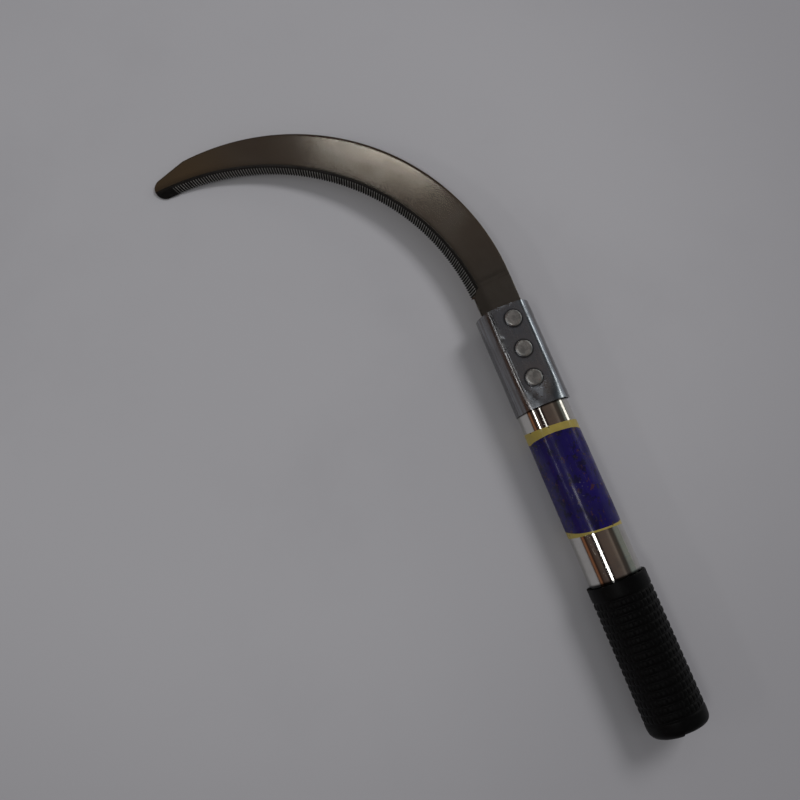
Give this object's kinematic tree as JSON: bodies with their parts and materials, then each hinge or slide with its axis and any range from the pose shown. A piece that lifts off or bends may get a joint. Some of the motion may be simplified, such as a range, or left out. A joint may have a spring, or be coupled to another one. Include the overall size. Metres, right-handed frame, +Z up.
{
  "type": "hand sickle",
  "caption": "Hand sickle with a serrated crescent blade riveted into a pressed ferrule on a steel tube handle with a ribbed rubber grip, for cutting grass and grain by hand.",
  "frame": {"origin": "centre of the butt's flat end face, on the axis of the handle", "axes": "+X along the handle from the butt to the blade, +Y the side the blade hooks towards, +Z up with the sickle lying on a table, its bevelled face up and its nose touching down"},
  "size_m": [0.3365, 0.1488, 0.0281],
  "materials": {
    "blade_steel": "satin, darkened, fine scratches, hollow-ground saw-toothed bevel",
    "tube_steel": "mirror-polished stainless steel",
    "ferrule_steel": "drawn sheet, scratched along its length",
    "rivet_metal": "hammered heads with bright rounded rims",
    "grip_rubber": "moulded ribs and pads, satin black",
    "label_film": "glossy printed film, violet-blue field with yellow borders, worn",
    "core_wood": "sawn, unfinished, out of sight"
  },
  "bodies": {
    "root": {"blade": "blade_steel", "tube": "tube_steel", "ferrule": "ferrule_steel", "core_upper": "core_wood", "core_lower": "core_wood", "rivet_front": "rivet_metal", "rivet_middle": "rivet_metal", "rivet_rear": "rivet_metal", "grip": "grip_rubber", "label": "label_film"}
  },
  "joints": []
}
